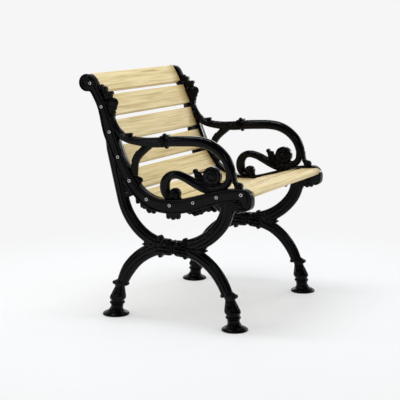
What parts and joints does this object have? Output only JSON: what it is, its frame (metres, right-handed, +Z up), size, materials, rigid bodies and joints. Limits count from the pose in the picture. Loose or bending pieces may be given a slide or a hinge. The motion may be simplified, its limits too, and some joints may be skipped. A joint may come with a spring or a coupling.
{
  "type": "garden armchair",
  "caption": "Garden armchair with ornamental cast iron sides, scrolled arms and a curved seat and back of wooden slats held by socket screws.",
  "frame": {"origin": "on the floor, under the middle of the chair's width and depth", "axes": "+Z up; +X to the left hand of a person sitting in the chair; -Y is the way the sitter faces"},
  "size_m": [0.704, 0.6631, 0.8522],
  "materials": {
    "casting": "semi-gloss",
    "slat": "satin",
    "screw": "satin"
  },
  "bodies": {
    "root": {"right_rail": "casting", "right_rail_leaves": "casting", "right_bracket": "casting", "right_back_leaf": "casting", "right_arm": "casting", "right_arm_brace": "casting", "right_arm_scroll": "casting", "right_rear_arc": "casting", "right_front_arc": "casting", "right_knot": "casting", "right_rear_leg": "casting", "right_front_leg": "casting", "right_screws": "screw", "left_rail": "casting", "left_rail_leaves": "casting", "left_bracket": "casting", "left_back_leaf": "casting", "left_arm": "casting", "left_arm_brace": "casting", "left_arm_scroll": "casting", "left_rear_arc": "casting", "left_front_arc": "casting", "left_knot": "casting", "left_rear_leg": "casting", "left_front_leg": "casting", "left_screws": "screw", "back_slat_1": "slat", "back_slat_2": "slat", "back_slat_3": "slat", "back_slat_4": "slat", "back_slat_5": "slat", "seat_slat_1": "slat", "seat_slat_2": "slat", "seat_slat_3": "slat", "seat_slat_4": "slat", "seat_slat_5": "slat"}
  },
  "joints": []
}
